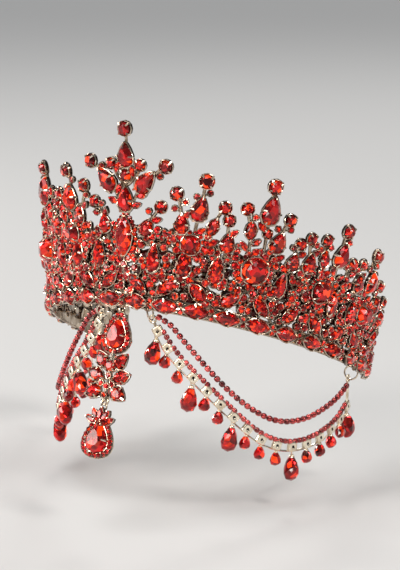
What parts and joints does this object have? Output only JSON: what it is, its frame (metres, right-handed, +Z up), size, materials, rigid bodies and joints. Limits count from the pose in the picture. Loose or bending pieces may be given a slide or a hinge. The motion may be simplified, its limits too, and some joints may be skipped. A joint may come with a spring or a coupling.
{
  "type": "bridal crown with forehead pendant and side swags",
  "caption": "Tall open-backed bridal crown of pierced silver metal set with red glass, with a hinged forehead pendant and beaded side swags.",
  "frame": {"origin": "centre of the rail's oval at the height where the crown sits on the head", "axes": "+Z up, -Y to the front, +X to the wearer's left"},
  "size_m": [0.1744, 0.1501, 0.1697],
  "materials": {
    "silver_metal": "polished champagne silver plating",
    "red_glass": "faceted garnet-red glass, foiled behind",
    "seed_beads": "garnet-red seed beads"
  },
  "bodies": {
    "crown": {"crown_frame": "silver_metal", "left_chain": "silver_metal", "right_chain": "silver_metal", "left_front_ring": "silver_metal", "right_front_ring": "silver_metal", "left_rear_ring": "silver_metal", "right_rear_ring": "silver_metal", "left_seed_string": "seed_beads", "right_seed_string": "seed_beads", "centre_tip": "red_glass", "centre_upper_pear": "red_glass", "centre_round": "red_glass", "centre_lower_pear": "red_glass", "centre_marquise": "red_glass", "left_inner_sprig_tip": "red_glass", "left_inner_sprig_pear": "red_glass", "left_outer_sprig_tip": "red_glass", "left_outer_sprig_pear": "red_glass", "left_spire_1_tip": "red_glass", "left_spire_1_pear": "red_glass", "left_spire_2_tip": "red_glass", "left_spire_2_pear": "red_glass", "left_spire_3_tip": "red_glass", "left_spire_3_pear": "red_glass", "left_spire_4_tip": "red_glass", "left_spire_4_pear": "red_glass", "left_rosette_1": "red_glass", "left_rosette_2": "red_glass", "left_rosette_3": "red_glass", "left_rosette_4": "red_glass", "right_inner_sprig_tip": "red_glass", "right_inner_sprig_pear": "red_glass", "right_outer_sprig_tip": "red_glass", "right_outer_sprig_pear": "red_glass", "right_spire_1_tip": "red_glass", "right_spire_1_pear": "red_glass", "right_spire_2_tip": "red_glass", "right_spire_2_pear": "red_glass", "right_spire_3_tip": "red_glass", "right_spire_3_pear": "red_glass", "right_spire_4_tip": "red_glass", "right_spire_4_pear": "red_glass", "right_rosette_1": "red_glass", "right_rosette_2": "red_glass", "right_rosette_3": "red_glass", "right_rosette_4": "red_glass"},
    "pendant": {"pendant_frame": "silver_metal", "pendant_halo_stone": "red_glass", "pendant_heart_stone": "red_glass"},
    "drop": {"drop_frame": "silver_metal", "drop_stone": "red_glass"}
  },
  "joints": [
    {"name": "pendant_swing", "type": "hinge", "parent": "crown", "child": "pendant", "pos_m": [0, -0.08134, 0.03816], "axis": [1, 0, 0], "range_deg": [-8, 36]},
    {"name": "drop_swing", "type": "hinge", "parent": "pendant", "child": "drop", "pos_m": [0, -0.09768, -0.00377], "axis": [1, 0, 0], "range_deg": [-20, 24]}
  ]
}
